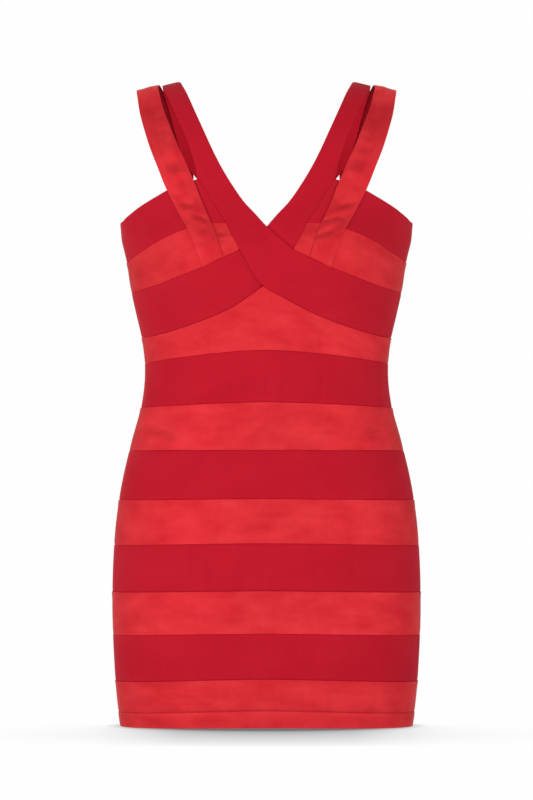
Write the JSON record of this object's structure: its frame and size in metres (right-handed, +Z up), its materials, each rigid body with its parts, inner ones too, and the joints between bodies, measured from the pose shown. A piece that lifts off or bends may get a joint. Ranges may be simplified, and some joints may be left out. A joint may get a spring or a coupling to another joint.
{
  "type": "cocktail dress",
  "caption": "Sleeveless fitted cocktail dress in bands of crepe and satin, with crossed bust bands, wide straps and a back zip, filled out to its worn shape.",
  "frame": {"origin": "midway between the two shoulder straps, at the height of their inner faces where they lie on the wearer's shoulders", "axes": "+Z up along the wearer's back, -Y to the front of the dress, +X to the wearer's left"},
  "size_m": [0.3604, 0.261, 0.7524],
  "materials": {
    "crepe": "matt crepe",
    "satin": "glossy satin",
    "zip_tape": "woven tape",
    "zip_metal": "semi-gloss lacquer"
  },
  "bodies": {
    "dress": {"bust_satin_back_left": "satin", "bust_satin_back_right": "satin", "bust_satin_front_left": "satin", "bust_satin_front_right": "satin", "crepe_strap_back_left": "crepe", "crepe_strap_back_right": "crepe", "crossover_left": "crepe", "crossover_right": "crepe", "hem_satin_back_left": "satin", "hem_satin_back_right": "satin", "hem_satin_front": "satin", "high_hip_crepe_back_left": "crepe", "high_hip_crepe_back_right": "crepe", "high_hip_crepe_front": "crepe", "high_hip_satin_back_left": "satin", "high_hip_satin_back_right": "satin", "high_hip_satin_front": "satin", "hip_crepe_back_left": "crepe", "hip_crepe_back_right": "crepe", "hip_crepe_front": "crepe", "hip_satin_back_left": "satin", "hip_satin_back_right": "satin", "hip_satin_front": "satin", "satin_strap_back_left": "satin", "satin_strap_back_right": "satin", "satin_strap_front_left": "satin", "satin_strap_front_right": "satin", "thigh_crepe_back_left": "crepe", "thigh_crepe_back_right": "crepe", "thigh_crepe_front": "crepe", "top_crepe_back_left": "crepe", "top_crepe_back_right": "crepe", "top_crepe_front_left": "crepe", "top_crepe_front_right": "crepe", "underbust_crepe_back_left": "crepe", "underbust_crepe_back_right": "crepe", "underbust_satin_back_left": "satin", "underbust_satin_back_right": "satin", "underbust_satin_front": "satin", "waist_crepe_back_left": "crepe", "waist_crepe_back_right": "crepe", "waist_crepe_front": "crepe", "waist_satin_back_left": "satin", "waist_satin_back_right": "satin", "waist_satin_front": "satin", "zip_slider": "zip_metal", "zip_tape": "zip_tape"},
    "zip_pull": {"zip_pull": "zip_metal"}
  },
  "joints": [
    {"name": "zip_pull_hinge", "type": "hinge", "parent": "dress", "child": "zip_pull", "pos_m": [0, 0.10209, -0.17881], "axis": [1, 0, 0], "range_deg": [0, 170]}
  ]
}
